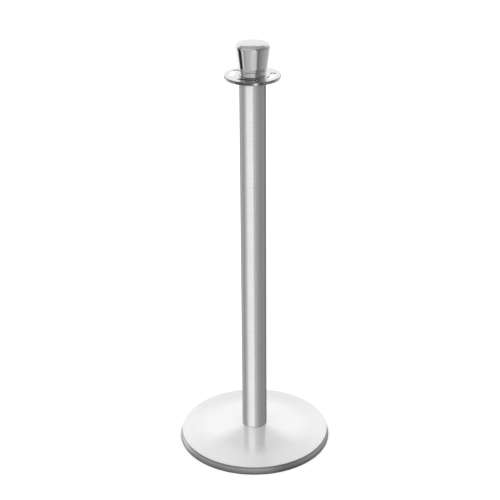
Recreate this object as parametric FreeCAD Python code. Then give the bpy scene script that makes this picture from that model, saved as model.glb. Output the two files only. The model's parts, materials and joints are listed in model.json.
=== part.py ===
import FreeCAD, Part
import math
import os

# Crown-top rope stanchion, in millimetres. The origin is on the floor under the middle of the base,
# and +Z runs up the post. The post, base and crown are turned about +Z. The collar has four slots.

# Base
floor_ring_radius = 184.9
floor_ring_inner_radius = 166.0
floor_ring_height = 2.4
floor_ring_edge_rounding = 0.8
upstand_gap = 0.5                # from the weight out to the ring's upstand
upstand_thickness = 3.5
upstand_drop = 4.0               # from the top of the weight's disc down to the upstand's edge
cover_thickness = 1.2
cover_rim_radius = 184.5         # outer radius at the lower edge of the cover
cover_corner_radius = 180.6      # where the cone and the slanted rim would meet with no rounding
cover_corner_height = 18.9
cover_lip_rounding = 3.0
cover_seat_radius = 33.0         # flat middle that the tube stands on
cover_seat_height = 34.0
weight_radius = 176.0
weight_thickness = 10.0
weight_edge_chamfer = 3.0
weight_boss_radius = 42.0
weight_boss_draft = 4.0          # how much wider the boss's foot is than boss_radius
weight_rib_count = 6
weight_rib_width = 10.0
weight_rib_gap = 3.0             # from the ribs up to the cover
weight_rib_end_inset = 20.0
weight_rib_foot = 1.0            # ribs start this far inside the disc and end this far above it
weight_recess_radius = 25.0
weight_recess_depth = 14.0

# M12 thread, shown as plain cylinders
thread_radius = 5.93
tapped_radius = 6.0
clearance_hole_radius = 6.75
nut_across_flats = 18.0
nut_height = 10.0
hexagon_corner_angle = math.radians(30)
head_height = 7.5
flat_washer_radius = 12.0
flat_washer_thickness = 2.5
flat_washer_chamfer = 0.4
spring_washer_bore_radius = 6.25
spring_washer_radius = 10.5
spring_washer_section = 3.0
spring_washer_split = 1.2
spring_washer_split_slant = 25   # degrees
bolt_length = 60.0
bolt_point_chamfer = 1.5
stud_end_chamfer = 1.2

# Tube and its plugs
gasket_thickness = 0.8
gasket_inset = 0.2               # how far the gasket's edge stays inside the tube's
tube_radius = 30.0
tube_wall = 1.5
tube_top = 928.2
plug_fit = 0.02                  # radial gap of a pressed plug
plug_length = 30.0
plug_chamfer = 1.0
plug_flange_thickness = 3.0
plug_flange_chamfer = 0.5
journal_radius = 11.0
stud_length = 80.0
stud_end_below_nut = 4.0

# Collar
washer_radius = 24.0
washer_thickness = 1.5
washer_chamfer = 0.3
washer_clearance = 0.3
collar_radius = 63.8
collar_thickness = 3.0
collar_rim_drop = 7.0            # from the flat top to the lower edge of the rim
collar_rim_thickness = 2.4
collar_rim_rounding = 1.5        # the rim's outer upper edge
collar_edge_rounding = 0.6       # the rim's outer lower edge
collar_corner_rounding = 0.8     # inside, where the rim meets the plate
bush_radius = 13.0
bush_clearance = 0.05
slot_inner_radius = 39.8
slot_outer_radius = 52.0
slot_half_angle = 21.4           # from the slot's middle to the centre of its round end
slot_count = 4
slot_edge_rounding = 0.5
collar_end_play = 0.4

# Crown
crown_foot_gap = 0.1             # from the bottom of the upper washer up to the shell's foot
crown_foot_radius = 30.84
crown_taper = math.radians(7.65)
crown_widest_radius = 39.0
crown_shoulder_rounding = 10.4
crown_dome_radius = 134.0
crown_foot_rounding = 0.4
crown_wall = 2.2
crown_land_height = 9.0
core_radius = 27.9
core_disc_thickness = 6.0
core_boss_radius = 12.0
core_height = 23.0

tolerance = 1e-4                 # shorter lengths count as nothing

# Heights that follow from the sizes above
weight_bottom = floor_ring_height
weight_top = weight_bottom + weight_thickness
recess_ceiling = weight_bottom + weight_recess_depth
tube_bottom = cover_seat_height + gasket_thickness
flange_top = tube_top + plug_flange_thickness
collar_bottom = flange_top + washer_thickness
collar_top = collar_bottom + collar_thickness
journal_top = collar_top + collar_end_play
core_bottom = journal_top + washer_thickness
crown_foot = journal_top + crown_foot_gap
stud_washer_bottom = tube_top - plug_length - flat_washer_thickness
stud_nut_top = stud_washer_bottom - spring_washer_section
stud_bottom = stud_nut_top - nut_height - stud_end_below_nut
rim_slope = (cover_rim_radius - cover_corner_radius) / (cover_corner_height - floor_ring_height)
cone_slope = (cover_seat_height - cover_corner_height) / (cover_corner_radius - cover_seat_radius)


def point(radius, height):
    """A point in the XZ half plane that outlines are drawn in."""
    return FreeCAD.Vector(radius, 0, height)


def outline(start, *steps):
    """A closed face. A step is the end of a line, or (a point on an arc, the end of the arc)."""
    edges = []
    here = start
    for step in steps + (start,):
        if isinstance(step[0], tuple):
            through, end = step
            edges.append(Part.Arc(point(*here), point(*through), point(*end)).toShape())
        else:
            end = step
            if math.dist(here, end) > tolerance:
                edges.append(Part.LineSegment(point(*here), point(*end)).toShape())
        here = end
    return Part.Face(Part.Wire(edges))


def turned(start, *steps):
    """The solid that an outline makes when it is turned about +Z."""
    face = outline(start, *steps)
    return face.revolve(FreeCAD.Vector(), FreeCAD.Vector(0, 0, 1), 360)


def tube_of(inner, outer, bottom, top, chamfer=0.0):
    """A plain ring or sleeve, with its outer edges chamfered."""
    return turned(
        (inner, bottom),
        (outer - chamfer, bottom),
        (outer, bottom + chamfer),
        (outer, top - chamfer),
        (outer - chamfer, top),
        (inner, top),
    )


def cylinder(radius, bottom, top):
    return Part.makeCylinder(radius, top - bottom, FreeCAD.Vector(0, 0, bottom))


def hexagon(across_flats, bottom, top):
    """A hexagon bar with the corners of both ends turned off."""
    corner = across_flats / math.sqrt(3)
    corners = [
        FreeCAD.Vector(corner * math.cos(k * math.pi / 3), corner * math.sin(k * math.pi / 3), bottom)
        for k in range(7)
    ]
    bar = Part.Face(Part.makePolygon(corners)).extrude(FreeCAD.Vector(0, 0, top - bottom))
    flat_radius = across_flats / 2
    drop = (corner - flat_radius) * math.tan(hexagon_corner_angle)
    turning = turned(
        (0, bottom),
        (flat_radius, bottom),
        (corner, bottom + drop),
        (corner, top - drop),
        (flat_radius, top),
        (0, top),
    )
    return bar.common(turning)


def on_circle(centre, radius, angle):
    """The point of a circle at an angle above the +X direction."""
    return (centre[0] + radius * math.cos(angle), centre[1] + radius * math.sin(angle))


def flat_washer(top):
    bottom = top - flat_washer_thickness
    return tube_of(clearance_hole_radius, flat_washer_radius, bottom, top, flat_washer_chamfer)


def spring_washer(top):
    """Spring washer, pressed flat, with a slanted split on its +X side."""
    bottom = top - spring_washer_section
    ring = tube_of(spring_washer_bore_radius, spring_washer_radius, bottom, top)
    length = spring_washer_radius
    height = 3 * spring_washer_section
    middle = (bottom + top) / 2
    corner = FreeCAD.Vector(thread_radius, -spring_washer_split / 2, middle - height / 2)
    split = Part.makeBox(length, spring_washer_split, height, corner)
    split.rotate(FreeCAD.Vector(0, 0, middle), FreeCAD.Vector(1, 0, 0), spring_washer_split_slant)
    return ring.cut(split)


def spun_profile(inset):
    """The base cover's outer face, moved inwards by inset: lip start, lip middle, lip end, rim foot."""
    cone_angle = math.atan(cone_slope)
    rim_angle = math.atan(rim_slope)
    cone_height = cover_corner_height - inset / math.cos(cone_angle)
    rim_radius = cover_corner_radius - inset / math.cos(rim_angle)
    # the moved cone is z = cone_height - cone_slope * (r - cover_corner_radius), and the moved rim is
    # r = rim_radius + rim_slope * (cover_corner_height - z)
    rise = cone_height + cone_slope * (cover_corner_radius - rim_radius) - cover_corner_height
    corner_z = cover_corner_height + rise / (1 - cone_slope * rim_slope)
    corner_r = rim_radius + rim_slope * (cover_corner_height - corner_z)
    rounding = cover_lip_rounding - inset
    turn = math.pi / 2 - cone_angle - rim_angle
    setback = rounding * math.tan(turn / 2)
    start = (corner_r - setback * math.cos(cone_angle), corner_z + setback * math.sin(cone_angle))
    centre = (start[0] - rounding * math.sin(cone_angle), start[1] - rounding * math.cos(cone_angle))
    middle = on_circle(centre, rounding, rim_angle + turn / 2)
    end = on_circle(centre, rounding, rim_angle)
    foot = (rim_radius + rim_slope * (cover_corner_height - floor_ring_height), floor_ring_height)
    return start, middle, end, foot


def make_floor_ring():
    """Rubber ring: a flat tread, and an upstand that holds the cover's rim from inside."""
    edge = floor_ring_edge_rounding
    upstand_inner = weight_radius + upstand_gap
    upstand_outer = upstand_inner + upstand_thickness
    upstand_top = weight_top - upstand_drop
    return turned(
        (floor_ring_inner_radius, 0),
        (floor_ring_radius - edge, 0),
        (on_circle((floor_ring_radius - edge, edge), edge, -math.pi / 4), (floor_ring_radius, edge)),
        (floor_ring_radius, floor_ring_height),
        (upstand_outer, floor_ring_height),
        (upstand_outer, upstand_top),
        (upstand_inner, upstand_top),
        (upstand_inner, floor_ring_height),
        (floor_ring_inner_radius, floor_ring_height),
    )


def make_base_weight():
    """Cast disc with a boss and ribs on top, and a recess below for the head of the bolt."""
    boss_top = cover_seat_height - cover_thickness
    disc = turned(
        (0, weight_bottom),
        (weight_radius, weight_bottom),
        (weight_radius, weight_top - weight_edge_chamfer),
        (weight_radius - weight_edge_chamfer, weight_top),
        (weight_boss_radius + weight_boss_draft, weight_top),
        (cover_seat_radius - cover_thickness, boss_top),
        (0, boss_top),
    )
    rib_end = weight_radius - weight_rib_end_inset
    rib_top = boss_top - weight_rib_gap
    rib_face = outline(
        (weight_recess_radius, weight_top - weight_rib_foot),
        (rib_end, weight_top - weight_rib_foot),
        (rib_end, weight_top + weight_rib_foot),
        (weight_boss_radius - weight_boss_draft, rib_top),
        (weight_recess_radius, rib_top),
    )
    rib = rib_face.extrude(FreeCAD.Vector(0, weight_rib_width, 0))
    rib.translate(FreeCAD.Vector(0, -weight_rib_width / 2, 0))
    for k in range(weight_rib_count):
        turned_rib = rib.copy()
        turned_rib.rotate(FreeCAD.Vector(), FreeCAD.Vector(0, 0, 1), k * 360 / weight_rib_count)
        disc = disc.fuse(turned_rib)
    disc = disc.cut(cylinder(weight_recess_radius, 0, recess_ceiling))
    disc = disc.cut(cylinder(clearance_hole_radius, 0, cover_seat_height))
    return disc.removeSplitter()


def make_base_cover():
    """Spun shell: flat seat, shallow cone, round lip and slanted rim."""
    outer_start, outer_middle, outer_end, outer_foot = spun_profile(0.0)
    inner_start, inner_middle, inner_end, inner_foot = spun_profile(cover_thickness)
    seat_bottom = cover_seat_height - cover_thickness
    inner_seat_radius = cover_seat_radius - cover_thickness * math.tan(math.atan(cone_slope) / 2)
    return turned(
        (clearance_hole_radius, cover_seat_height),
        (cover_seat_radius, cover_seat_height),
        outer_start,
        (outer_middle, outer_end),
        outer_foot,
        inner_foot,
        inner_end,
        (inner_middle, inner_start),
        (inner_seat_radius, seat_bottom),
        (clearance_hole_radius, seat_bottom),
    )


def make_base_bolt():
    """Hexagon bolt with its head up in the recess of the weight."""
    head_top = recess_ceiling - flat_washer_thickness - spring_washer_section
    end = head_top + bolt_length
    shank_start = head_top - head_height / 2
    shank = turned(
        (0, shank_start),
        (thread_radius, shank_start),
        (thread_radius, end - bolt_point_chamfer),
        (thread_radius - bolt_point_chamfer, end),
        (0, end),
    )
    return hexagon(nut_across_flats, head_top - head_height, head_top).fuse(shank).removeSplitter()


def make_base_bolt_washer():
    return flat_washer(recess_ceiling)


def make_base_lock_washer():
    return spring_washer(recess_ceiling - flat_washer_thickness)


def make_foot_gasket():
    return tube_of(clearance_hole_radius, tube_radius - gasket_inset, cover_seat_height, tube_bottom)


def make_foot_plug():
    """Tapped plug in the bottom of the tube."""
    plug_radius = tube_radius - tube_wall - plug_fit
    return tube_of(tapped_radius, plug_radius, tube_bottom, tube_bottom + plug_length, plug_chamfer)


def make_post_tube():
    return tube_of(tube_radius - tube_wall, tube_radius, tube_bottom, tube_top)


def make_top_plug():
    """Plug with a flange on the tube's end, and the journal that the collar turns on."""
    plug_radius = tube_radius - tube_wall - plug_fit
    plug_bottom = tube_top - plug_length
    edge = plug_flange_chamfer
    return turned(
        (tapped_radius, plug_bottom),
        (plug_radius - plug_chamfer, plug_bottom),
        (plug_radius, plug_bottom + plug_chamfer),
        (plug_radius, tube_top),
        (tube_radius, tube_top),
        (tube_radius, flange_top - edge),
        (tube_radius - edge, flange_top),
        (journal_radius, flange_top),
        (journal_radius, journal_top - edge),
        (journal_radius - edge, journal_top),
        (tapped_radius, journal_top),
    )


def make_head_stud():
    """Stud that the crown screws onto, chamfered at both ends."""
    top = stud_bottom + stud_length
    return turned(
        (0, stud_bottom),
        (thread_radius - stud_end_chamfer, stud_bottom),
        (thread_radius, stud_bottom + stud_end_chamfer),
        (thread_radius, top - stud_end_chamfer),
        (thread_radius - stud_end_chamfer, top),
        (0, top),
    )


def make_stud_washer():
    return flat_washer(tube_top - plug_length)


def make_stud_lock_washer():
    return spring_washer(stud_washer_bottom)


def make_stud_nut():
    nut = hexagon(nut_across_flats, stud_nut_top - nut_height, stud_nut_top)
    return nut.cut(cylinder(tapped_radius, stud_nut_top - 2 * nut_height, stud_nut_top + nut_height))


def make_lower_washer():
    bore_radius = journal_radius + washer_clearance
    return tube_of(bore_radius, washer_radius, flange_top, collar_bottom, washer_chamfer)


def slot_cutter():
    """One kidney-shaped slot with round ends, centred on the +X direction."""
    half = math.radians(slot_half_angle)
    middle_radius = (slot_inner_radius + slot_outer_radius) / 2
    end_radius = (slot_outer_radius - slot_inner_radius) / 2
    base = collar_bottom - 2 * collar_rim_drop

    def at(radius, angle):
        return FreeCAD.Vector(radius * math.cos(angle), radius * math.sin(angle), base)

    def round_end(side):
        centre = at(middle_radius, side * half)
        tip = FreeCAD.Vector(-math.sin(side * half), math.cos(side * half), 0) * (side * end_radius)
        return centre + tip

    edges = [
        Part.Arc(at(slot_outer_radius, -half), at(slot_outer_radius, 0), at(slot_outer_radius, half)),
        Part.Arc(at(slot_outer_radius, half), round_end(1), at(slot_inner_radius, half)),
        Part.Arc(at(slot_inner_radius, half), at(slot_inner_radius, 0), at(slot_inner_radius, -half)),
        Part.Arc(at(slot_inner_radius, -half), round_end(-1), at(slot_outer_radius, -half)),
    ]
    face = Part.Face(Part.Wire([edge.toShape() for edge in edges]))
    return face.extrude(FreeCAD.Vector(0, 0, 4 * collar_rim_drop))


def is_slot_edge(edge):
    """True for the level edges round the slots. Every other level edge is a whole circle about +Z."""
    level = edge.BoundBox.ZMax - edge.BoundBox.ZMin < tolerance
    off_axis = math.hypot(edge.CenterOfMass.x, edge.CenterOfMass.y) > tolerance
    return level and off_axis


def make_rope_ring():
    """Slotted collar: a flat plate with an upright rim that hangs down from its edge."""
    rim_bottom = collar_top - collar_rim_drop
    rim_inner = collar_radius - collar_rim_thickness
    corner = collar_corner_rounding
    edge = collar_edge_rounding
    shoulder = collar_rim_rounding
    corner_centre = (rim_inner - corner, collar_bottom - corner)
    edge_centre = (collar_radius - edge, rim_bottom + edge)
    shoulder_centre = (collar_radius - shoulder, collar_top - shoulder)
    plate = turned(
        (bush_radius, collar_bottom),
        (rim_inner - corner, collar_bottom),
        (on_circle(corner_centre, corner, math.pi / 4), (rim_inner, collar_bottom - corner)),
        (rim_inner, rim_bottom),
        (collar_radius - edge, rim_bottom),
        (on_circle(edge_centre, edge, -math.pi / 4), (collar_radius, rim_bottom + edge)),
        (collar_radius, collar_top - shoulder),
        (on_circle(shoulder_centre, shoulder, math.pi / 4), (collar_radius - shoulder, collar_top)),
        (bush_radius, collar_top),
    )
    cutter = slot_cutter()
    for k in range(slot_count):
        turned_cutter = cutter.copy()
        turned_cutter.rotate(FreeCAD.Vector(), FreeCAD.Vector(0, 0, 1), k * 360 / slot_count)
        plate = plate.cut(turned_cutter)
    slot_edges = [edge for edge in plate.Edges if is_slot_edge(edge)]
    return plate.makeFillet(slot_edge_rounding, slot_edges)


def make_ring_bush():
    return tube_of(journal_radius + bush_clearance, bush_radius, collar_bottom, collar_top)


def make_upper_washer():
    return tube_of(clearance_hole_radius, washer_radius, journal_top, core_bottom, washer_chamfer)


def crown_profile(inset):
    """The crown's outline, moved inwards by inset: side top, shoulder middle and end, dome middle and top."""
    rounding = crown_shoulder_rounding - inset
    centre_r = crown_widest_radius - crown_shoulder_rounding
    side_end_r = centre_r + crown_shoulder_rounding * math.cos(crown_taper)
    side_rise = (side_end_r - crown_foot_radius) / math.tan(crown_taper)
    centre = (centre_r, crown_foot + side_rise + crown_shoulder_rounding * math.sin(crown_taper))
    dome_radius = crown_dome_radius - inset
    tilt = math.asin(centre_r / (crown_dome_radius - crown_shoulder_rounding))
    side_top = on_circle(centre, rounding, -crown_taper)
    shoulder_end = on_circle(centre, rounding, math.pi / 2 - tilt)
    shoulder_middle = on_circle(centre, rounding, (math.pi / 2 - tilt - crown_taper) / 2)
    dome_centre_z = centre[1] - (crown_dome_radius - crown_shoulder_rounding) * math.cos(tilt)
    dome_top = (0, dome_centre_z + dome_radius)
    dome_middle = on_circle((0, dome_centre_z), dome_radius, math.pi / 2 - tilt / 2)
    return side_top, shoulder_middle, shoulder_end, dome_middle, dome_top


def make_crown_shell():
    """Hollow crown: a cone that widens upwards, a round shoulder and a low dome."""
    side_top, shoulder_middle, shoulder_end, dome_middle, dome_top = crown_profile(0.0)
    in_side_top, in_shoulder_middle, in_shoulder_end, in_dome_middle, in_dome_top = crown_profile(crown_wall)
    land_top = core_bottom + crown_land_height
    wall_radius = in_side_top[0] - (in_side_top[1] - land_top) * math.tan(crown_taper)
    lift = crown_foot_rounding
    foot_corner = crown_foot_radius - lift
    return turned(
        (core_radius, crown_foot),
        (foot_corner, crown_foot),
        (on_circle((foot_corner, crown_foot + lift), lift, -math.pi / 4),
         (crown_foot_radius, crown_foot + lift)),
        side_top,
        (shoulder_middle, shoulder_end),
        (dome_middle, dome_top),
        in_dome_top,
        (in_dome_middle, in_shoulder_end),
        (in_shoulder_middle, in_side_top),
        (wall_radius, land_top),
        (core_radius, land_top - (wall_radius - core_radius)),
    )


def make_crown_core():
    """Tapped core in the crown's foot: a disc and a boss."""
    disc_top = core_bottom + core_disc_thickness
    return turned(
        (tapped_radius, core_bottom),
        (core_radius - plug_fit, core_bottom),
        (core_radius - plug_fit, disc_top),
        (core_boss_radius, disc_top),
        (core_boss_radius, core_bottom + core_height),
        (tapped_radius, core_bottom + core_height),
    )


makers = {
    "floor_ring": make_floor_ring,
    "base_weight": make_base_weight,
    "base_cover": make_base_cover,
    "base_bolt": make_base_bolt,
    "base_bolt_washer": make_base_bolt_washer,
    "base_lock_washer": make_base_lock_washer,
    "foot_gasket": make_foot_gasket,
    "foot_plug": make_foot_plug,
    "post_tube": make_post_tube,
    "top_plug": make_top_plug,
    "head_stud": make_head_stud,
    "stud_washer": make_stud_washer,
    "stud_lock_washer": make_stud_lock_washer,
    "stud_nut": make_stud_nut,
    "lower_washer": make_lower_washer,
    "rope_ring": make_rope_ring,
    "ring_bush": make_ring_bush,
    "upper_washer": make_upper_washer,
    "crown_shell": make_crown_shell,
    "crown_core": make_crown_core,
}

os.makedirs("parts", exist_ok=True)
for node, maker in makers.items():
    shape = maker()
    if len(shape.Solids) != 1 or not shape.isValid():
        raise ValueError(node + " is not one valid solid")
    solid = shape.Solids[0]
    solid.exportStep("parts/" + node + ".step")
    box = solid.BoundBox
    print(f"{node:18s} {solid.Volume / 1000:9.1f} cm3  z {box.ZMin:7.1f} to {box.ZMax:7.1f}")
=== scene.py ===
import json
import math
from collections import namedtuple

import bmesh
import bpy
from mathutils import Matrix, Vector

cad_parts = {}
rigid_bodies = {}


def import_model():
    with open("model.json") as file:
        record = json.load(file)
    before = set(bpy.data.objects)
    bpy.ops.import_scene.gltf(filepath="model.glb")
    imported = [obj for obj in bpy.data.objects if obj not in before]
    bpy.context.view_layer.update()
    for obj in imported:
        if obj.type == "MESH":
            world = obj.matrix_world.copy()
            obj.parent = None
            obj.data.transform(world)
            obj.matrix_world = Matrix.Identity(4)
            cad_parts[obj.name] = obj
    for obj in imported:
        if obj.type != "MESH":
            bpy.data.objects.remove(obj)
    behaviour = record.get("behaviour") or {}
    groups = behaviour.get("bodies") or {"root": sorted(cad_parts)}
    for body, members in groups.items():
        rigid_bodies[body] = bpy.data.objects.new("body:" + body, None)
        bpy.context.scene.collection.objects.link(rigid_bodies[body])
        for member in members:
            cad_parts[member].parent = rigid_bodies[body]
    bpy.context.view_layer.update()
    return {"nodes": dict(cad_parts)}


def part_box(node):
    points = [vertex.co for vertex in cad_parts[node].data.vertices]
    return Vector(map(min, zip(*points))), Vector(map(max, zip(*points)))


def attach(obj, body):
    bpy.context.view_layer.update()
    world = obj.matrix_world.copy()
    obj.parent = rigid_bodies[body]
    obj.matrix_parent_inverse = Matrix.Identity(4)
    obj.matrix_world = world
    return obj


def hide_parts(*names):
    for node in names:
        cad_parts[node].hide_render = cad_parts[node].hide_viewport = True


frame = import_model()

MM = 0.001
UP = math.pi / 2                        # the angle of straight up, above the outward direction
SAME_SPOT = 1e-7                        # points closer together than this are one point
FINE = 256                              # segments round a turned piece; the cover has twice as many
NOISE_LOW, NOISE_HIGH = 0.3, 0.7        # the range that a noise texture seldom leaves

# ---------------------------------------------------------------- places, from the frame
tube_low, tube_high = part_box("post_tube")
cover_low, cover_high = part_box("base_cover")
foot_low, foot_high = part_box("floor_ring")
collar_low, collar_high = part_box("rope_ring")
bush_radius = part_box("ring_bush")[1].x
crown_low, crown_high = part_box("crown_shell")
core_low, core_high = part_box("crown_core")
stud_low, stud_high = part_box("head_stud")

# ---------------------------------------------------------------- sizes that the boxes don't give
tube_wall = 1.5 * MM
tube_edge = 0.2 * MM
cover_thickness = 1.2 * MM
cover_corner_radius = 180.6 * MM
cover_corner_height = 18.9 * MM
cover_lip_rounding = 3.0 * MM
cover_seat_radius = 33.0 * MM
bolt_hole_radius = 6.75 * MM
tread_inner_radius = 166.0 * MM
tread_edge_rounding = 0.8 * MM
groove_width = 1.6 * MM
groove_depth = 0.8 * MM
groove_places = (0.25, 0.5, 0.75)       # shares of the way across the tread
upstand_outer_radius = 180.0 * MM
upstand_inner_radius = 176.5 * MM
collar_thickness = 3.0 * MM
collar_rim_thickness = 2.4 * MM
collar_rim_rounding = 1.5 * MM
collar_edge_rounding = 0.6 * MM
collar_corner_rounding = 0.8 * MM
collar_bore_edge = 0.3 * MM
collar_flat_margin = 0.6 * MM           # a narrow band beside each rounding, which keeps the shading flat
slot_count = 4
slot_inner_radius = 39.8 * MM
slot_outer_radius = 52.0 * MM
slot_half_angle = math.radians(21.4)
slot_edge_rounding = 0.5 * MM
crown_foot_radius = 30.84 * MM
crown_taper = math.radians(7.65)
crown_widest_radius = crown_high.x
crown_shoulder_rounding = 10.4 * MM
crown_dome_radius = 134.0 * MM
crown_foot_rounding = 0.4 * MM
crown_wall = 2.2 * MM
crown_land_height = 9.0 * MM
thread_pitch = 1.75 * MM
thread_depth = 0.95 * MM


# ---------------------------------------------------------------- mesh helpers
def arc(centre, radius, start, end, steps):
    """Points of an arc, both ends included. Angles are above the outward direction."""
    angles = [start + (end - start) * k / steps for k in range(steps + 1)]
    return [(centre[0] + radius * math.cos(a), centre[1] + radius * math.sin(a)) for a in angles]


def run(start, end, steps=1, margin=0.4 * MM, most=0.3):
    """Points of a straight run. One is a margin from each end, or a share of a short run, and keeps the
    shading between them flat."""
    near = min(margin / math.dist(start, end), most)
    shares = [0.0, near] + [k / steps for k in range(1, steps)] + [1 - near, 1.0]
    return [(start[0] + (end[0] - start[0]) * s, start[1] + (end[1] - start[1]) * s) for s in shares]


def joined(*stretches):
    """One closed outline from stretches that meet end to end, with no point twice."""
    outline = []
    for stretch in stretches:
        for spot in stretch:
            if not outline or math.dist(outline[-1], spot) > SAME_SPOT:
                outline.append(spot)
    if math.dist(outline[0], outline[-1]) < SAME_SPOT:
        outline.pop()
    return outline


def ring_of(bm, radius, height, segments=FINE):
    """A level ring of vertices about the post's axis, or a single vertex on the axis."""
    if radius < SAME_SPOT:
        return [bm.verts.new((0, 0, height))]
    angles = [2 * math.pi * k / segments for k in range(segments)]
    return [bm.verts.new((radius * math.cos(a), radius * math.sin(a), height)) for a in angles]


def skin(bm, loops):
    """Faces between each loop and the next. A loop of one vertex gets a fan of triangles."""
    for loop, after in zip(loops, loops[1:]):
        count = max(len(loop), len(after))
        if count == 1:
            continue
        for k in range(count):
            n = (k + 1) % count
            if len(loop) == 1:
                bm.faces.new((loop[0], after[n], after[k]))
            elif len(after) == 1:
                bm.faces.new((loop[k], loop[n], after[0]))
            else:
                bm.faces.new((loop[k], loop[n], after[n], after[k]))


def turned(outline, segments=FINE):
    """A closed bmesh turned about +Z from a closed outline of (radius, height) points."""
    bm = bmesh.new()
    rings = [ring_of(bm, radius, height, segments) for radius, height in outline]
    skin(bm, rings + rings[:1])
    return bm


def add_piece(name, bm, body, material, sharp=30.0):
    """Makes an object of a bmesh, smooth but for its sharp edges, and puts it on its body."""
    bmesh.ops.recalc_face_normals(bm, faces=bm.faces)
    mesh = bpy.data.meshes.new(name)
    bm.to_mesh(mesh)
    bm.free()
    mesh.shade_smooth()
    mesh.set_sharp_from_angle(angle=math.radians(sharp))
    mesh.materials.append(material)
    piece = bpy.data.objects.new(name, mesh)
    bpy.context.collection.objects.link(piece)
    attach(piece, body)
    return piece


# ---------------------------------------------------------------- node helpers
# A point of a piece by its height, its distance from the post's axis and its angle round it.
Polar = namedtuple("Polar", "height radius angle")


class Nodes:
    """Short calls for building a node tree. They take a number, a colour or another node's output."""

    def __init__(self, tree):
        self.tree = tree
        tree.nodes.clear()

    def add(self, kind, **settings):
        node = self.tree.nodes.new(kind)
        for key, value in settings.items():
            setattr(node, key, value)
        return node

    def link(self, value, socket):
        """Links a node's output to the socket. A number or a colour is set on the socket itself."""
        if isinstance(value, (int, float, tuple)):
            socket.default_value = value
        else:
            self.tree.links.new(value, socket)

    def fed(self, node, *values):
        """The first output of a node whose inputs take the values, in order."""
        for value, socket in zip(values, node.inputs):
            self.link(value, socket)
        return node.outputs[0]

    def math(self, operation, *values):
        return self.fed(self.add("ShaderNodeMath", operation=operation), *values)

    def vector(self, x, y, z):
        return self.fed(self.add("ShaderNodeCombineXYZ"), x, y, z)

    def parts(self, vector):
        """The x, y and z of a vector."""
        node = self.add("ShaderNodeSeparateXYZ")
        self.link(vector, node.inputs[0])
        return node.outputs

    def scaled(self, value, low, high, to_low=0.0, to_high=1.0, interpolation="LINEAR"):
        """Maps low to to_low and high to to_high, evenly or as interpolation says, and holds those beyond."""
        node = self.add("ShaderNodeMapRange", interpolation_type=interpolation)
        return self.fed(node, value, low, high, to_low, to_high)

    def smooth(self, value, low, high):
        """A smooth step from 0 to 1 as value goes from low to high."""
        return self.scaled(value, low, high, interpolation="SMOOTHSTEP")

    def spread(self, noise, to_low=0.0, to_high=1.0):
        """Maps the usual range of a noise to another range."""
        return self.scaled(noise, NOISE_LOW, NOISE_HIGH, to_low, to_high)

    def noise(self, vector, scale, detail=3.0, rough=0.5):
        node = self.add("ShaderNodeTexNoise")
        self.link(vector, node.inputs["Vector"])
        self.link(scale, node.inputs["Scale"])
        self.link(detail, node.inputs["Detail"])
        self.link(rough, node.inputs["Roughness"])
        return node.outputs["Fac"]

    def mixed(self, data_type, first_input, output, share, a, b):
        """a where share is 0 and b where it is 1. The Mix node has its own sockets for each type of data."""
        node = self.add("ShaderNodeMix", data_type=data_type)
        self.link(share, node.inputs[0])
        self.link(a, node.inputs[first_input])
        self.link(b, node.inputs[first_input + 1])
        return node.outputs[output]

    def mix_value(self, share, a, b):
        return self.mixed("FLOAT", 2, 0, share, a, b)

    def mix_colour(self, share, a, b):
        return self.mixed("RGBA", 6, 2, share, a, b)

    def mix_shader(self, share, a, b):
        return self.fed(self.add("ShaderNodeMixShader"), share, a, b)

    def bump(self, height, strength, distance):
        node = self.add("ShaderNodeBump")
        self.link(height, node.inputs["Height"])
        self.link(strength, node.inputs["Strength"])
        self.link(distance, node.inputs["Distance"])
        return node.outputs[0]

    def spot(self):
        """The point's place in the piece's own frame."""
        return self.add("ShaderNodeTexCoord").outputs["Object"]

    def polar(self):
        x, y, z = self.parts(self.spot())
        radius = self.math("SQRT", self.math("ADD", self.math("MULTIPLY", x, x), self.math("MULTIPLY", y, y)))
        return Polar(z, radius, self.math("ARCTAN2", y, x))

    def levelness(self):
        """1 where the surface is level and 0 where it is upright."""
        normal = self.add("ShaderNodeTexCoord").outputs["Normal"]
        return self.math("ABSOLUTE", self.parts(normal)[2])

    def dress(self, principled, **values):
        """Sets or links a shader's sockets. What is the same all over is a plain number or colour."""
        for key, value in values.items():
            self.link(value, principled.inputs[key.replace("_", " ")])


def shader(name, **values):
    """A material with one Principled shader."""
    material = bpy.data.materials.new(name)
    material.use_nodes = True
    nodes = Nodes(material.node_tree)
    principled = nodes.add("ShaderNodeBsdfPrincipled")
    output = nodes.add("ShaderNodeOutputMaterial")
    nodes.link(principled.outputs[0], output.inputs["Surface"])
    nodes.dress(principled, **values)
    return material, nodes, principled


def grey(value, warm=0.0):
    """A grey as a colour, warmer by the share warm."""
    return (value * (1 + warm), value, value * (1 - warm), 1.0)


# ---------------------------------------------------------------- materials
def smudged_plating(nodes, smudges, tint):
    """Roughness and colour of bright plating that hands have smudged a little."""
    roughness = nodes.scaled(smudges, 0.40, 0.75, 0.035, 0.085)
    colour = nodes.mix_colour(nodes.spread(smudges), grey(tint), grey(tint * 0.965))
    return roughness, colour


def polished_chrome(name, tint):
    """Mirror-bright plating with faint polishing waves and hand smudges."""
    material, nodes, principled = shader(name, Metallic=1.0)
    at = nodes.polar()
    smudges = nodes.noise(nodes.spot(), scale=26.0, detail=4.0, rough=0.6)
    roughness, colour = smudged_plating(nodes, smudges, tint)
    around = nodes.math("MULTIPLY", at.angle, 0.3)
    waves = nodes.noise(nodes.vector(around, at.height, 0.0), scale=70.0, detail=2.0)
    normal = nodes.bump(waves, strength=0.02, distance=0.2 * MM)
    nodes.dress(principled, Roughness=roughness, Base_Color=colour, Normal=normal)
    return material


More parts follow.
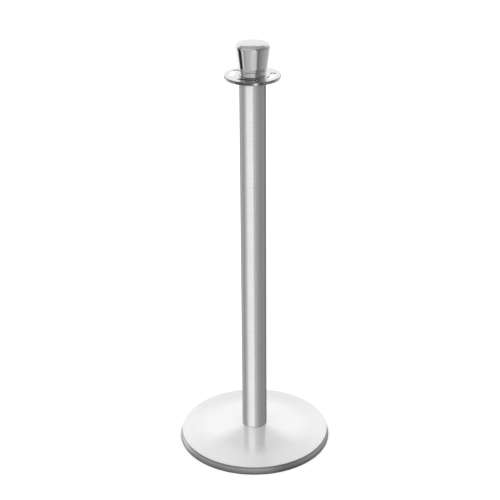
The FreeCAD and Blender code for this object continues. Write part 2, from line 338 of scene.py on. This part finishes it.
def stamped_chrome(name, tint, outer_wall_painted_shade, inner_wall_painted_shade, edge):
    """Plating on a pressed plate: bright on the flat and rougher on the walls. Its colour carries painted
    shade, grey on the slots' outer walls and near black on their inner walls, and a painted dark reflection
    on the rim."""
    material, nodes, principled = shader(name, Metallic=1.0)
    radius = nodes.polar().radius
    smudges = nodes.noise(nodes.spot(), scale=40.0, detail=4.0, rough=0.6)
    flat_roughness, flat = smudged_plating(nodes, smudges, tint)
    # painted dark reflection on the rim, varied by the smudges
    rim = nodes.mix_colour(nodes.spread(smudges), grey(edge), grey(edge * 0.8))
    on_wall = nodes.smooth(nodes.levelness(), 0.93, 0.70)
    on_outer_wall = nodes.smooth(radius, slot_inner_radius + 1 * MM, slot_inner_radius + 5 * MM)
    on_painted_dark_rim = nodes.smooth(radius, slot_outer_radius + 2 * MM, slot_outer_radius + 8 * MM)
    # painted shade on the slots' walls, then the painted dark reflection over the rim
    wall = nodes.mix_colour(on_outer_wall, grey(inner_wall_painted_shade), grey(outer_wall_painted_shade))
    wall = nodes.mix_colour(on_painted_dark_rim, wall, rim)
    nodes.dress(principled,
                Roughness=nodes.mix_value(on_wall, flat_roughness, 0.20),
                Base_Color=nodes.mix_colour(on_wall, flat, wall))
    return material


def grain_round_the_axis(nodes, principled):
    """Grain that runs round the axis spreads a highlight across the grain, a quarter turn from it."""
    tangent = nodes.add("ShaderNodeTangent", direction_type="RADIAL", axis="Z")
    nodes.dress(principled, Tangent=tangent.outputs[0], Anisotropic_Rotation=0.25)


def satin_tube(name):
    """Stainless tube with fine grain round it."""
    material, nodes, principled = shader(name, Metallic=1.0, Anisotropic=0.97, Specular_Tint=grey(0.5))
    grain_round_the_axis(nodes, principled)
    at = nodes.polar()
    around = nodes.math("MULTIPLY", at.angle, 0.004)
    grain = nodes.noise(nodes.vector(around, at.height, 0.0), scale=2600.0, rough=0.7)
    bands = nodes.noise(nodes.vector(around, at.height, 1.0), scale=260.0)
    smudges = nodes.noise(nodes.spot(), scale=9.0, detail=4.0, rough=0.6)
    wear = nodes.math("ADD", nodes.math("MULTIPLY", grain, 0.5), nodes.math("MULTIPLY", smudges, 0.5))
    nodes.dress(principled,
                Roughness=nodes.spread(wear, 0.32, 0.38),
                Base_Color=nodes.mix_colour(nodes.spread(bands), grey(0.43), grey(0.47)),
                Normal=nodes.bump(grain, strength=0.05, distance=0.05 * MM))
    return material


def spun_steel(name):
    """Spun cover with circular grain: polished near the tube and satin further out. Its rim carries a painted
    dark reflection and painted shade.
    """
    material, nodes, polished = shader(name, Roughness=0.09, Anisotropic=1.0, Metallic=0.6)
    satin = nodes.add("ShaderNodeBsdfPrincipled")
    at = nodes.polar()
    around = nodes.math("MULTIPLY", at.angle, 0.003)
    grain = nodes.noise(nodes.vector(at.radius, around, at.height), scale=1500.0, rough=0.7)
    rings = nodes.spread(nodes.noise(nodes.vector(at.radius, around, 1.0), scale=150.0, detail=2.0))
    on_painted_dark_rim = nodes.smooth(nodes.levelness(), 0.75, 0.45)
    top = nodes.mix_colour(rings, grey(0.96), grey(0.99))
    # painted dark reflection on the rim, with painted shade that darkens it towards the floor
    rim = nodes.mix_colour(nodes.smooth(at.height, 4 * MM, 12 * MM), grey(0.34), grey(0.56))
    # a painted shadow line under the lip
    rim = nodes.mix_colour(nodes.smooth(at.height, 13.6 * MM, 15.0 * MM), rim, grey(0.36))
    nodes.dress(polished, Base_Color=nodes.mix_colour(rings, grey(0.93), grey(0.95)))
    nodes.dress(satin,
                Anisotropic=0.6,
                Base_Color=nodes.mix_colour(on_painted_dark_rim, top, rim),
                Metallic=nodes.mix_value(on_painted_dark_rim, 0.6, 1.0),
                Roughness=nodes.mix_value(on_painted_dark_rim, 0.5, 0.46))
    for principled, strength in ((polished, 0.015), (satin, 0.05)):
        grain_round_the_axis(nodes, principled)
        nodes.dress(principled, Normal=nodes.bump(grain, strength, distance=0.05 * MM))
    outwards = nodes.smooth(at.radius, 92 * MM, 150 * MM)
    output = nodes.tree.nodes["Material Output"]
    nodes.link(nodes.mix_shader(outwards, polished.outputs[0], satin.outputs[0]), output.inputs["Surface"])
    return material


def rubber(name, tone):
    """Dull rubber with a fine grain and patches of dust."""
    material, nodes, principled = shader(name, Metallic=0.0)
    spot = nodes.spot()
    fine = nodes.noise(spot, scale=900.0)
    patches = nodes.noise(spot, scale=30.0)
    nodes.dress(principled,
                Roughness=nodes.spread(patches, 0.62, 0.82),
                Base_Color=nodes.mix_colour(nodes.spread(patches), grey(tone), grey(tone * 1.5)),
                Normal=nodes.bump(fine, strength=0.25, distance=0.2 * MM))
    return material


def cast_iron(name):
    """Sand-cast weight under thin black paint."""
    material, nodes, principled = shader(name, Metallic=0.3)
    spot = nodes.spot()
    sand = nodes.noise(spot, scale=420.0, detail=5.0, rough=0.65)
    patches = nodes.noise(spot, scale=18.0, detail=4.0)
    nodes.dress(principled,
                Roughness=nodes.spread(patches, 0.5, 0.75),
                Base_Color=nodes.mix_colour(nodes.scaled(sand, 0.35, 0.7), grey(0.03), grey(0.09, 0.05)),
                Normal=nodes.bump(sand, strength=0.5, distance=0.6 * MM))
    return material


def turned_metal(name, tone, warm, least_rough, most_rough):
    """Fasteners and plugs: fine turning marks, and a plating that varies a little."""
    material, nodes, principled = shader(name, Metallic=1.0)
    at = nodes.polar()
    around = nodes.math("MULTIPLY", at.angle, 0.002)
    marks = nodes.noise(nodes.vector(at.radius, at.height, around), scale=2200.0, detail=2.0)
    patches = nodes.noise(nodes.spot(), scale=120.0)
    nodes.dress(principled,
                Roughness=nodes.spread(patches, least_rough, most_rough),
                Base_Color=nodes.mix_colour(nodes.spread(patches), grey(tone, warm), grey(tone * 0.85)),
                Normal=nodes.bump(marks, strength=0.12, distance=0.1 * MM))
    return material


def nylon(name):
    """Off-white washers and bush, a little cloudy."""
    material, nodes, principled = shader(name, Metallic=0.0)
    clear, cloudy = (0.80, 0.78, 0.72, 1), (0.86, 0.85, 0.80, 1)
    haze = nodes.noise(nodes.spot(), scale=160.0)
    nodes.dress(principled,
                Roughness=nodes.spread(haze, 0.38, 0.55),
                Base_Color=nodes.mix_colour(nodes.spread(haze), clear, cloudy),
                Normal=nodes.bump(haze, strength=0.05, distance=0.1 * MM))
    return material


chrome_crown = polished_chrome("chrome_crown", tint=0.86)
# the wall and edge greys are painted shade on the slots' walls and a painted dark reflection on the rim
chrome_collar = stamped_chrome("chrome_collar", tint=0.86, outer_wall_painted_shade=0.50, inner_wall_painted_shade=0.05, edge=0.17)
tube_steel = satin_tube("satin_tube")
cover_steel = spun_steel("spun_steel")
floor_rubber = rubber("floor_rubber", tone=0.02)
gasket_rubber = rubber("gasket_rubber", tone=0.05)
iron = cast_iron("cast_iron")
zinc = turned_metal("zinc_plated", tone=0.62, warm=0.03, least_rough=0.22, most_rough=0.4)
plug_steel = turned_metal("turned_steel", tone=0.52, warm=0.0, least_rough=0.25, most_rough=0.45)
nylon_white = nylon("nylon")


# ---------------------------------------------------------------- crown
def crown_outline():
    """The shell's outline, outside and inside, as a closed loop that starts on the axis at the top."""
    centre_r = crown_widest_radius - crown_shoulder_rounding
    side_end_r = centre_r + crown_shoulder_rounding * math.cos(crown_taper)
    side_rise = (side_end_r - crown_foot_radius) / math.tan(crown_taper)
    centre = (centre_r, crown_low.z + side_rise + crown_shoulder_rounding * math.sin(crown_taper))
    tilt = math.asin(centre_r / (crown_dome_radius - crown_shoulder_rounding))
    dome = (0.0, centre[1] - (crown_dome_radius - crown_shoulder_rounding) * math.cos(tilt))
    foot_centre = (crown_foot_radius - crown_foot_rounding, crown_low.z + crown_foot_rounding)
    core_radius = core_high.x
    land_top = core_low.z + crown_land_height
    inner_shoulder = crown_shoulder_rounding - crown_wall
    inner_side_top = (centre[0] + inner_shoulder * math.cos(crown_taper),
                      centre[1] - inner_shoulder * math.sin(crown_taper))
    wall_radius = inner_side_top[0] - (inner_side_top[1] - land_top) * math.tan(crown_taper)
    outer_dome = arc(dome, crown_dome_radius, UP, UP - tilt, steps=14)
    outer_shoulder = arc(centre, crown_shoulder_rounding, UP - tilt, -crown_taper, steps=28)
    foot = arc(foot_centre, crown_foot_rounding, 0.0, -UP, steps=6)
    return joined(
        outer_dome,
        outer_shoulder,
        run(outer_shoulder[-1], foot[0], steps=4),
        foot,
        [(core_radius, crown_low.z), (core_radius, land_top - (wall_radius - core_radius))],
        [(wall_radius, land_top), inner_side_top],
        arc(centre, inner_shoulder, -crown_taper, UP - tilt, steps=14),
        arc(dome, crown_dome_radius - crown_wall, UP - tilt, UP, steps=10),
    )


def make_crown():
    crown = add_piece("crown", turned(crown_outline()), "crown", chrome_crown)
    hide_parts("crown_shell")
    return crown


# ---------------------------------------------------------------- collar
def polar_spot(radius, angle):
    return Vector((radius * math.cos(angle), radius * math.sin(angle), 0))


def kidney(offset, angle, steps_long=28, steps_end=10):
    """The outline of one slot, moved outwards by offset, turned by angle about the axis."""
    middle = (slot_inner_radius + slot_outer_radius) / 2
    end = (slot_outer_radius - slot_inner_radius) / 2 + offset
    low, high = angle - slot_half_angle, angle + slot_half_angle
    points = []

    def long_side(radius, start, stop):
        for k in range(steps_long):
            points.append(polar_spot(radius, start + (stop - start) * k / steps_long))

    def round_end(at, start):
        for k in range(steps_end):
            points.append(polar_spot(middle, at) + polar_spot(end, start + math.pi * k / steps_end))

    long_side(middle + end, low, high)
    round_end(high, high)
    long_side(middle - end, high, low)
    round_end(low, low + math.pi)
    return points


def loop_edges(bm, loop):
    """The edges of a closed loop of vertices."""
    edges = []
    for k in range(len(loop)):
        pair = (loop[k], loop[(k + 1) % len(loop)])
        edges.append(bm.edges.get(pair) or bm.edges.new(pair))
    return edges


def rim_outline(top, under):
    """The collar's rim, from the flat top round the outside to the flat underside."""
    foot = collar_low.z
    outer = collar_high.x
    inner = outer - collar_rim_thickness
    shoulder, edge, corner = collar_rim_rounding, collar_edge_rounding, collar_corner_rounding
    return joined(
        [(outer - shoulder - collar_flat_margin, top)],
        arc((outer - shoulder, top - shoulder), shoulder, UP, 0.0, steps=8),
        run((outer, top - shoulder), (outer, foot + edge)),
        arc((outer - edge, foot + edge), edge, 0.0, -UP, steps=6),
        [(inner, foot)],
        arc((inner - corner, under - corner), corner, 0.0, UP, steps=6),
        [(inner - corner - collar_flat_margin, under)],
    )


def bore_outline(top, under):
    """The bore that the bush is pressed into, from the flat underside to the flat top."""
    bore, edge = bush_radius, collar_bore_edge
    flat = bore + edge + collar_flat_margin
    return [(flat, under), (bore + edge, under), (bore, under + edge),
            (bore, top - edge), (bore + edge, top), (flat, top)]


def slot_edge(top, under, steps=4):
    """A slot's rounded edges and wall, from the top down: how far outside the slot, and how high."""
    rounding = slot_edge_rounding
    profile = [(rounding + collar_flat_margin, top)]
    for k in range(steps + 1):
        turn = k * UP / steps
        profile.append((rounding * (1 - math.sin(turn)), top - rounding * (1 - math.cos(turn))))
    return profile + [(offset, top + under - height) for offset, height in profile[::-1]]


def collar_mesh():
    """A flat plate with four kidney slots with rounded edges, and an upright rim hanging from its edge."""
    bm = bmesh.new()
    top, under = collar_high.z, collar_high.z - collar_thickness
    rim = [ring_of(bm, radius, height) for radius, height in rim_outline(top, under)]
    bore = [ring_of(bm, radius, height, segments=96) for radius, height in bore_outline(top, under)]
    skin(bm, rim)
    skin(bm, bore)
    top_edges = loop_edges(bm, rim[0]) + loop_edges(bm, bore[-1])
    under_edges = loop_edges(bm, rim[-1]) + loop_edges(bm, bore[0])
    for k in range(slot_count):
        slot = []
        for offset, height in slot_edge(top, under):
            spots = kidney(offset, 2 * math.pi * k / slot_count)
            slot.append([bm.verts.new((spot.x, spot.y, height)) for spot in spots])
        skin(bm, slot)
        top_edges += loop_edges(bm, slot[0])
        under_edges += loop_edges(bm, slot[-1])
    bmesh.ops.triangle_fill(bm, edges=top_edges, use_beauty=True, normal=(0, 0, 1))
    bmesh.ops.triangle_fill(bm, edges=under_edges, use_beauty=True, normal=(0, 0, -1))
    return bm


def make_collar():
    collar = add_piece("collar", collar_mesh(), "collar", chrome_collar, sharp=40.0)
    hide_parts("rope_ring")
    return collar


# ---------------------------------------------------------------- post and base
def make_tube():
    outer, inner = tube_high.x, tube_high.x - tube_wall
    outline = joined(
        [(inner, tube_low.z), (outer - tube_edge, tube_low.z)],
        run((outer, tube_low.z + tube_edge), (outer, tube_high.z - tube_edge), steps=24),
        [(outer - tube_edge, tube_high.z), (inner, tube_high.z)],
    )
    tube = add_piece("tube", turned(outline), "post", tube_steel)
    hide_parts("post_tube")
    return tube


def spun_profile(inset):
    """The cover's outer face moved inwards by inset: the lip's arc and the foot of the rim."""
    rim_slope = (cover_high.x - cover_corner_radius) / (cover_corner_height - cover_low.z)
    cone_slope = (cover_high.z - cover_corner_height) / (cover_corner_radius - cover_seat_radius)
    cone_angle, rim_angle = math.atan(cone_slope), math.atan(rim_slope)
    cone_height = cover_corner_height - inset / math.cos(cone_angle)
    rim_radius = cover_corner_radius - inset / math.cos(rim_angle)
    rise = cone_height + cone_slope * (cover_corner_radius - rim_radius) - cover_corner_height
    corner_z = cover_corner_height + rise / (1 - cone_slope * rim_slope)
    corner_r = rim_radius + rim_slope * (cover_corner_height - corner_z)
    rounding = cover_lip_rounding - inset
    setback = rounding * math.tan((UP - cone_angle - rim_angle) / 2)
    start = (corner_r - setback * math.cos(cone_angle), corner_z + setback * math.sin(cone_angle))
    centre = (start[0] - rounding * math.sin(cone_angle), start[1] - rounding * math.cos(cone_angle))
    lip = arc(centre, rounding, UP - cone_angle, rim_angle, steps=14)
    foot = (rim_radius + rim_slope * (cover_corner_height - cover_low.z), cover_low.z)
    return lip, foot


def make_cover():
    lip, foot = spun_profile(0.0)
    inner_lip, inner_foot = spun_profile(cover_thickness)
    top, under = cover_high.z, cover_high.z - cover_thickness
    outline = joined(
        [(bolt_hole_radius, under), (bolt_hole_radius, top)],
        run((bolt_hole_radius, top), (cover_seat_radius, top), steps=2),
        run((cover_seat_radius, top), lip[0], steps=12),
        lip,
        run(lip[-1], foot, steps=3),
        [inner_foot],
        inner_lip[::-1],
        [(cover_seat_radius, under)],
    )
    cover = add_piece("cover", turned(outline, 2 * FINE), "post", cover_steel, sharp=20.0)
    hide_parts("base_cover")
    return cover


def make_floor_ring():
    """Rubber ring with a rounded outer edge and three shallow grooves in its tread."""
    outer, bottom, flange = foot_high.x, foot_low.z, cover_low.z
    tread = [(tread_inner_radius, bottom)]
    for share in groove_places:
        middle = tread_inner_radius + (outer - tread_inner_radius) * share
        tread += [
            (middle - groove_width / 2, bottom),
            (middle - groove_width / 3, bottom + groove_depth),
            (middle + groove_width / 3, bottom + groove_depth),
            (middle + groove_width / 2, bottom),
        ]
    corner = (outer - tread_edge_rounding, bottom + tread_edge_rounding)
    outline = joined(
        tread,
        arc(corner, tread_edge_rounding, -UP, 0.0, steps=5),
        [(outer, flange), (upstand_outer_radius, flange), (upstand_outer_radius, foot_high.z)],
        [(upstand_inner_radius, foot_high.z), (upstand_inner_radius, flange), (tread_inner_radius, flange)],
    )
    ring = add_piece("tread_ring", turned(outline), "post", floor_rubber)
    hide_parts("floor_ring")


def thread_mesh(radius, low, high, segments=48, per_pitch=8):
    """A rod with a rounded V thread and a chamfer at each closed end."""
    bm = bmesh.new()
    steps = round((high - low) / thread_pitch * per_pitch)
    loops = []
    for i in range(steps + 1):
        z = low + (high - low) * i / steps
        chamfered = radius - thread_depth + min(z - low, high - z)
        loop = []
        for k in range(segments):
            angle = 2 * math.pi * k / segments
            phase = (z / thread_pitch - k / segments) % 1.0
            cut = thread_depth * (1 - abs(2 * phase - 1))
            r = min(radius - cut, chamfered)
            loop.append(bm.verts.new((r * math.cos(angle), r * math.sin(angle), z)))
        loops.append(loop)
    skin(bm, loops)
    bm.faces.new(loops[0])
    bm.faces.new(loops[-1])
    return bm


def make_stud():
    rod = thread_mesh(stud_high.x, stud_low.z, stud_high.z)
    stud = add_piece("threaded_stud", rod, "post", zinc, sharp=50.0)
    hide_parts("head_stud")


crown = make_crown()
collar = make_collar()
tube = make_tube()
cover = make_cover()
make_floor_ring()
make_stud()

carried_over = {
    "base_weight": iron,
    "base_bolt": zinc,
    "base_bolt_washer": zinc,
    "base_lock_washer": zinc,
    "foot_gasket": gasket_rubber,
    "foot_plug": plug_steel,
    "top_plug": plug_steel,
    "stud_washer": zinc,
    "stud_lock_washer": zinc,
    "stud_nut": zinc,
    "lower_washer": nylon_white,
    "ring_bush": nylon_white,
    "upper_washer": nylon_white,
    "crown_core": plug_steel,
}
for node, material in carried_over.items():
    for slot in frame["nodes"][node].material_slots:
        slot.material = material


# ---------------------------------------------------------------- stage
front = math.radians(-74.0)        # the direction from the post to the camera, round +Z from +X


def make_floor(half=9.0):
    """A pale floor, which the metal doesn't mirror."""
    bm = bmesh.new()
    corners = [bm.verts.new((sx * half, sy * half, 0)) for sx, sy in ((-1, -1), (1, -1), (1, 1), (-1, 1))]
    bm.faces.new(corners)
    mesh = bpy.data.meshes.new("floor")
    bm.to_mesh(mesh)
    bm.free()
    material, nodes, principled = shader("pale_floor", Metallic=0.0, Roughness=0.9, Emission_Strength=0.2)
    cloud = nodes.spread(nodes.noise(nodes.spot(), scale=2.0, detail=2.0))
    nodes.dress(principled,
                Base_Color=nodes.mix_colour(cloud, grey(0.93), grey(0.95)),
                Emission_Color=grey(1.0))
    mesh.materials.append(material)
    floor = bpy.data.objects.new("floor", mesh)
    bpy.context.collection.objects.link(floor)
    floor.visible_glossy = False


def clear_the_way():
    """Keeps the base out of what other metal mirrors. It would hide the softboxes from the tube's foot."""
    bpy.context.view_layer.update()
    for piece in bpy.data.objects:
        if piece.type != "MESH":
            continue
        top = max((piece.matrix_world @ Vector(corner)).z for corner in piece.bound_box)
        if top < cover_high.z + MM:
            piece.visible_glossy = False


# What the metal mirrors, as greys by direction: (degrees round from the camera's side, grey).
# Below the horizon: a white floor behind the post, a dark gap to the left, and greys, dimmer to the right.
room_below = (
    (-180, 1.05), (-119, 1.05), (-110, 0.04), (-85, 0.02), (-81, 0.45), (-75, 0.66), (-68, 0.66), (-63, 0.34),
    (-59, 0.36), (-43, 0.49), (-20, 0.54), (-10, 0.63), (-3, 0.67), (26, 0.63), (36, 0.26), (42, 0.18),
    (48, 0.19), (56, 0.25), (73, 0.31), (92, 0.38), (116, 0.43), (131, 0.52), (154, 0.62), (168, 0.90),
    (180, 1.0))
# At the horizon: a white sweep behind the post, and a dark room with a faint window in front.
room_level = (
    (-180, 1.0), (-119, 1.0), (-110, 0.12), (-88, 0.10), (-75, 0.08), (-40, 0.05), (-10, 0.06), (0, 0.15),
    (12, 0.18), (22, 0.07), (38, 0.08), (50, 0.12), (70, 0.15), (95, 0.19), (116, 0.26), (131, 0.36),
    (154, 0.60), (180, 1.0))
# Above the horizon: the sweep, a grey wall to the left in front and a darker one to the right.
room_above = (
    (-180, 0.95), (-121, 0.95), (-110, 0.30), (-88, 0.25), (-78, 0.50), (-60, 0.55), (-20, 0.60), (18, 0.60),
    (28, 0.20), (44, 0.19), (62, 0.20), (81, 0.24), (104, 0.32), (122, 0.50), (140, 0.90), (180, 0.95))
ceiling = ((-180, 0.45), (-120, 0.42), (0, 0.48), (60, 0.35), (120, 0.35), (180, 0.45))
# Each layer fades into the one before it between two elevations, in degrees.
room_layers = ((room_level, -2, 0), (room_above, 4, 6), (ceiling, 36, 44))
# The brightness of the even dome, which lights every piece and which no piece mirrors.
even_light = 1.12


def ramp(nodes, azimuth, stops):
    """Grey by azimuth, from stops of (degrees from the camera's side, grey)."""
    node = nodes.add("ShaderNodeValToRGB")
    nodes.link(nodes.scaled(azimuth, -math.pi, math.pi), node.inputs[0])
    elements = node.color_ramp.elements
    while len(elements) < len(stops):
        elements.new(0.5)
    for element, (degrees, tone) in zip(elements, stops):
        element.position = (degrees + 180) / 360
        element.color = grey(tone)
    return node.outputs[0]


def make_world():
    """Even light from all round, and a studio that is seen only where a piece mirrors it."""
    world = bpy.data.worlds.new("studio")
    bpy.context.scene.world = world
    world.use_nodes = True
    nodes = Nodes(world.node_tree)
    turn = nodes.add("ShaderNodeVectorRotate", rotation_type="Z_AXIS")
    nodes.link(nodes.add("ShaderNodeTexCoord").outputs["Generated"], turn.inputs["Vector"])
    nodes.link(-front, turn.inputs["Angle"])
    towards, sideways, upwards = nodes.parts(turn.outputs[0])
    azimuth = nodes.math("ARCTAN2", sideways, towards)
    elevation = nodes.math("ARCSINE", upwards)
    room = ramp(nodes, azimuth, room_below)
    for stops, fade_low, fade_high in room_layers:
        share = nodes.smooth(elevation, math.radians(fade_low), math.radians(fade_high))
        room = nodes.mix_colour(share, room, ramp(nodes, azimuth, stops))
    mirrored = nodes.fed(nodes.add("ShaderNodeBackground"), room)
    dome = nodes.fed(nodes.add("ShaderNodeBackground"), grey(1.0), even_light)
    is_mirroring = nodes.add("ShaderNodeLightPath").outputs["Is Glossy Ray"]
    output = nodes.add("ShaderNodeOutputWorld")
    nodes.link(nodes.mix_shader(is_mirroring, dome, mirrored), output.inputs["Surface"])


def make_softbox(name, receiver, aside, half_angle, radiance, low_edge, high_edge):
    """An upright softbox, aside degrees round from the camera, that only one piece picks up. Only the
    head can shade it, so its lower part shines up through the floor as a floor's reflection does."""
    distance = 4.0
    width = 2 * distance * math.tan(math.radians(half_angle))
    height = high_edge - low_edge
    angle = front + math.radians(aside)
    data = bpy.data.lights.new(name, "AREA")
    data.shape = "RECTANGLE"
    data.size = width
    data.size_y = height
    data.energy = radiance * math.pi * width * height
    softbox = bpy.data.objects.new(name, data)
    bpy.context.collection.objects.link(softbox)
    softbox.location = (distance * math.cos(angle), distance * math.sin(angle), (low_edge + high_edge) / 2)
    softbox.rotation_euler = (UP, 0.0, angle + UP)
    softbox.visible_camera = False
    lit = bpy.data.collections.new(name + "_lights")
    lit.objects.link(receiver)
    softbox.light_linking.receiver_collection = lit
    shading = bpy.data.collections.new(name + "_shaded_by")
    for piece in (crown, collar):
        shading.objects.link(piece)
    softbox.light_linking.blocker_collection = shading


def make_softboxes():
    """Each row has a softbox's name, its degrees round from the camera, half its width in degrees, and
    its radiance."""
    for name, aside, half_angle, radiance in (
            ("tube_left", -91.0, 29.0, 0.60),
            ("tube_key", -29.5, 32.0, 1.58),
            ("tube_near_right", 32.0, 28.0, 0.53),
            ("tube_far_right", 88.0, 27.0, 0.28)):
        make_softbox(name, tube, aside, half_angle, radiance, low_edge=-8.0, high_edge=4.0)
    for name, aside, half_angle, radiance in (
            ("collar_left", -112.0, 36.0, 1.5),
            ("collar_streak", 12.0, 7.0, 4.5),
            ("collar_right", 72.0, 30.0, 0.9),
            ("collar_far_right", 130.0, 28.0, 1.6)):
        make_softbox(name, collar, aside, half_angle, radiance, low_edge=-1.3, high_edge=0.4)
    for name, aside, half_angle, radiance in (
            ("rim_left", -104.0, 24.0, 0.6),
            ("rim_right", 95.0, 30.0, 0.15)):
        make_softbox(name, cover, aside, half_angle, radiance, low_edge=-4.0, high_edge=-0.3)
    make_softbox("crown_glint", crown, 13.0, 11.0, 1.5, low_edge=0.1, high_edge=0.6)


def make_camera():
    """Eye level, about 2.8 m from the post, looking down at its middle."""
    distance, height = 2.773, 1.793
    pitch = math.radians(24.89)
    aim_left = math.radians(0.175)
    roll = math.radians(-0.42)
    data = bpy.data.cameras.new("camera")
    data.sensor_width = 36.0
    data.lens = 93.46
    camera = bpy.data.objects.new("camera", data)
    bpy.context.collection.objects.link(camera)
    camera.location = (distance * math.cos(front), distance * math.sin(front), height)
    turn = Matrix.Rotation(front + UP + aim_left, 4, "Z") @ Matrix.Rotation(UP - pitch, 4, "X")
    camera.rotation_euler = (turn @ Matrix.Rotation(roll, 4, "Z")).to_euler()
    bpy.context.scene.camera = camera


make_floor()
clear_the_way()
make_world()
make_softboxes()
make_camera()
bpy.context.scene.view_settings.view_transform = "Standard"
